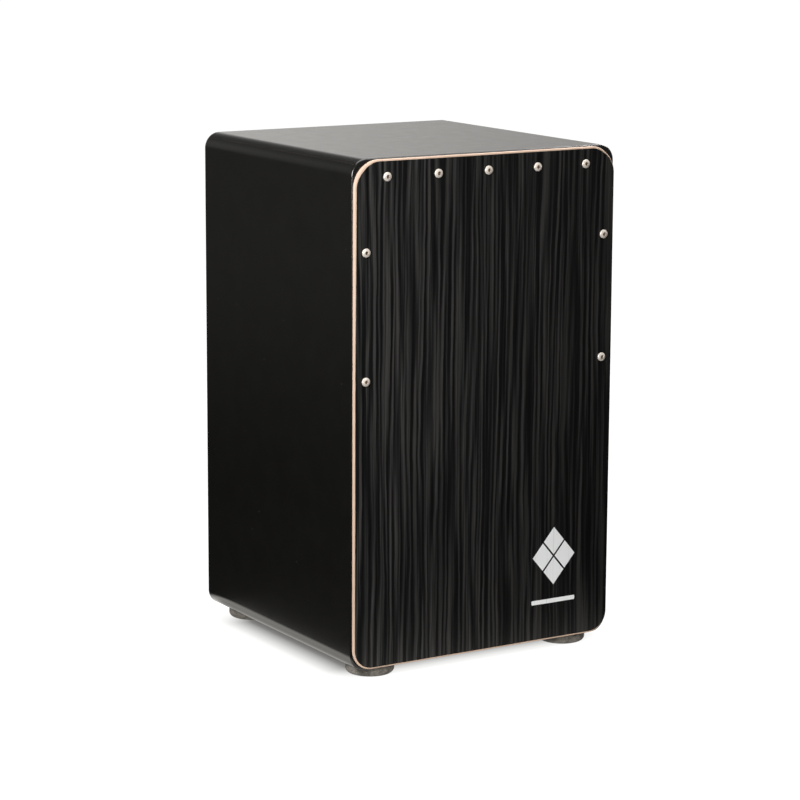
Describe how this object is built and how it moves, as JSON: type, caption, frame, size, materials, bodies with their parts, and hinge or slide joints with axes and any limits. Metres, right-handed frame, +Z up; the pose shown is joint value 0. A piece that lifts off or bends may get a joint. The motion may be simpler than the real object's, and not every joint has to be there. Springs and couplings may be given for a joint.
{
  "type": "cajon",
  "caption": "Box drum to sit on and play by hand, with a thin screwed front board, rear sound hole, rubber feet and a turnable snare bar inside.",
  "frame": {"origin": "on the floor under the middle of the drum's bounding box, where the rubber feet rest", "axes": "+Z up along the drum's height, -Y out of the struck front board, +X to the right as seen from the front"},
  "size_m": [0.3, 0.2992, 0.505],
  "materials": {
    "black_coating": "satin black soft-touch coating over plywood",
    "black_veneer": "black-dyed striped veneer, satin",
    "light_wood": "sanded light plywood, matt clear finish",
    "raw_pine": "planed, unfinished",
    "beech": "turned and sanded, oiled",
    "dark_rubber": "matt moulded",
    "bright_steel": "bright zinc plated",
    "snare_steel": "drawn wire, bright",
    "brass": "stamped sheet, bright"
  },
  "bodies": {
    "box": {"top_panel": "black_coating", "bottom_panel": "black_coating", "left_panel": "black_coating", "right_panel": "black_coating", "rear_panel": "black_coating", "tapa_veneer": "black_veneer", "tapa_core": "light_wood", "front_batten_top": "raw_pine", "front_batten_bottom": "raw_pine", "front_batten_left": "raw_pine", "front_batten_right": "raw_pine", "rear_batten_top": "raw_pine", "rear_batten_bottom": "raw_pine", "rear_batten_left": "raw_pine", "rear_batten_right": "raw_pine", "corner_batten_top_left": "raw_pine", "corner_batten_top_right": "raw_pine", "corner_batten_bottom_left": "raw_pine", "corner_batten_bottom_right": "raw_pine", "tapa_screw_top_1": "bright_steel", "tapa_screw_top_2": "bright_steel", "tapa_screw_top_3": "bright_steel", "tapa_screw_top_4": "bright_steel", "tapa_screw_top_5": "bright_steel", "tapa_screw_left_lower": "bright_steel", "tapa_screw_left_upper": "bright_steel", "tapa_screw_right_lower": "bright_steel", "tapa_screw_right_upper": "bright_steel", "foot_front_left": "dark_rubber", "foot_washer_front_left": "bright_steel", "foot_screw_front_left": "bright_steel", "foot_front_right": "dark_rubber", "foot_washer_front_right": "bright_steel", "foot_screw_front_right": "bright_steel", "foot_rear_left": "dark_rubber", "foot_washer_rear_left": "bright_steel", "foot_screw_rear_left": "bright_steel", "foot_rear_right": "dark_rubber", "foot_washer_rear_right": "bright_steel", "foot_screw_rear_right": "bright_steel", "snare_saddle_left": "beech", "saddle_screw_left_lower": "bright_steel", "saddle_screw_left_upper": "bright_steel", "snare_saddle_right": "beech", "saddle_screw_right_lower": "bright_steel", "saddle_screw_right_upper": "bright_steel"},
    "snare_bar": {"snare_bar": "beech", "snare_plate_left": "brass", "snare_wires_left": "snare_steel", "plate_screw_left_outer": "bright_steel", "plate_screw_left_inner": "bright_steel", "snare_plate_right": "brass", "snare_wires_right": "snare_steel", "plate_screw_right_outer": "bright_steel", "plate_screw_right_inner": "bright_steel"}
  },
  "joints": [
    {"name": "snare_bar_turn", "type": "hinge", "parent": "box", "child": "snare_bar", "pos_m": [0, -0.11055, 0.365], "axis": [-1, 0, 0], "range_deg": [0, 70]}
  ]
}
